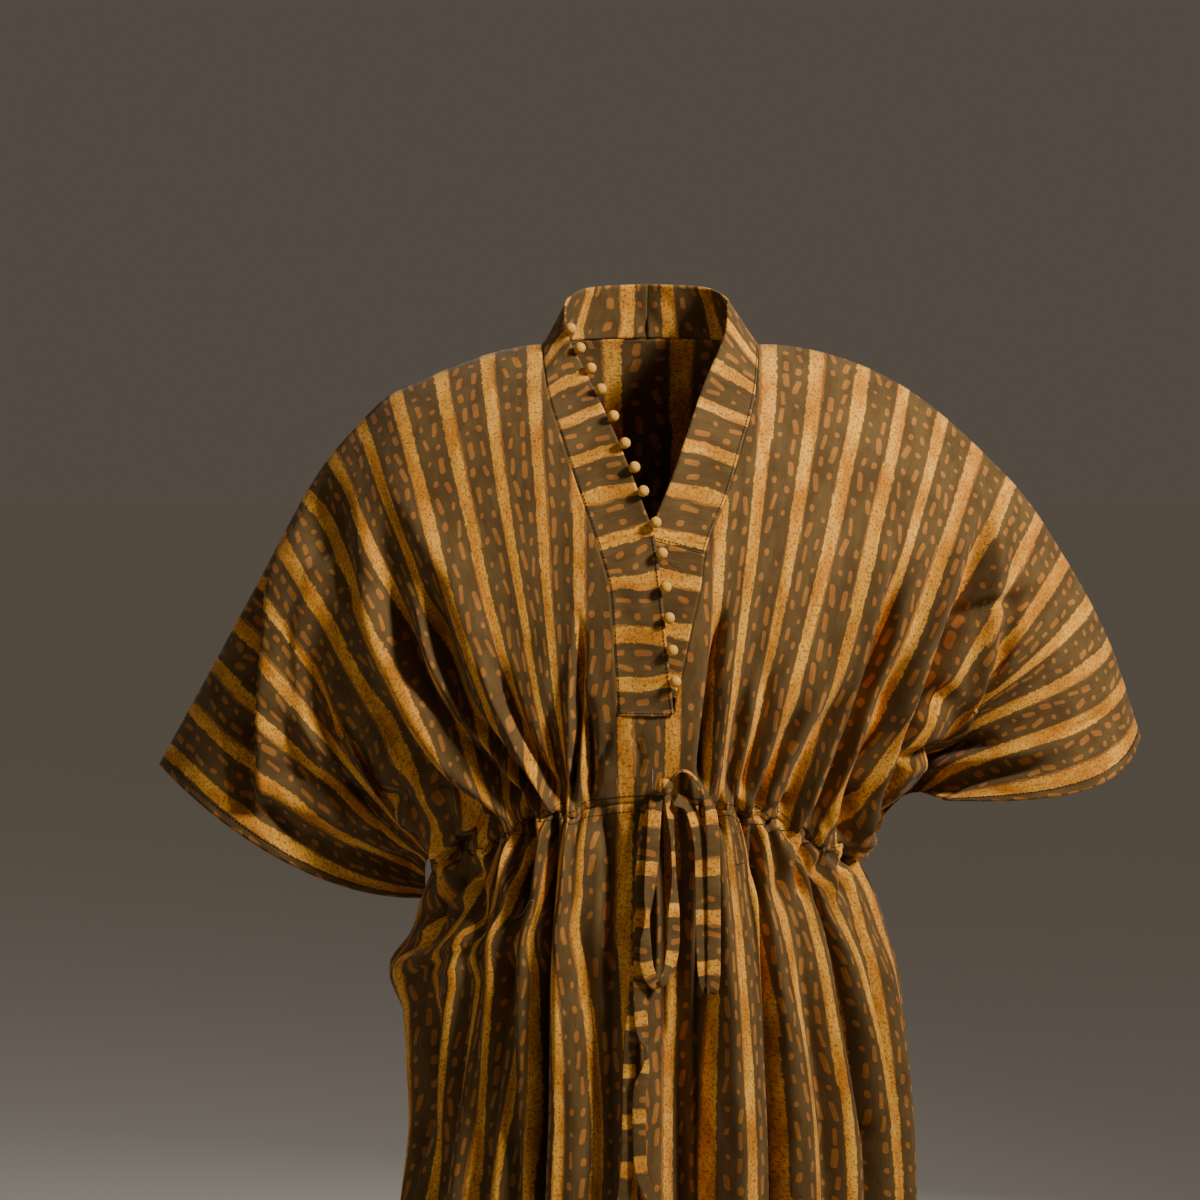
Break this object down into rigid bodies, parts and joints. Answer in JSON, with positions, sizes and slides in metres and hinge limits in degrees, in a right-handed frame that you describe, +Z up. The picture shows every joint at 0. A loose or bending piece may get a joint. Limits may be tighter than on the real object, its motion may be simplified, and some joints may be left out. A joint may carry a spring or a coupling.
{
  "type": "kaftan",
  "caption": "Long batwing kaftan in striped block-printed cotton, with a V neck, standing band, button placket and tied waist, held open as worn.",
  "frame": {"origin": "middle of the neck at the height of the wearer's shoulders, where the wearer holds the garment up", "axes": "+Z up, the front faces -Y, the wearer's left is +X"},
  "size_m": [0.7648, 0.3084, 1.31],
  "materials": {
    "printed_cotton": "matt block-printed cotton, gold stripes and rust dashes on olive brown",
    "band_cotton": "the same printed cotton cut crosswise and edge-stitched",
    "button_cloth": "plain golden cotton drawn tight over a ball"
  },
  "bodies": {
    "root": {"front": "printed_cotton", "back": "printed_cotton", "band_over": "band_cotton", "band_under": "band_cotton", "placket_under": "band_cotton", "button_01": "button_cloth", "button_02": "button_cloth", "button_03": "button_cloth", "button_04": "button_cloth", "button_05": "button_cloth", "button_06": "button_cloth", "button_07": "button_cloth", "button_08": "button_cloth", "button_09": "button_cloth", "button_10": "button_cloth", "button_11": "button_cloth", "button_12": "button_cloth", "button_13": "button_cloth", "button_14": "button_cloth", "tie_knot": "band_cotton", "tie_bow_right": "band_cotton", "tie_bow_left": "band_cotton", "tie_tail_right": "band_cotton", "tie_tail_left": "band_cotton"}
  },
  "joints": []
}
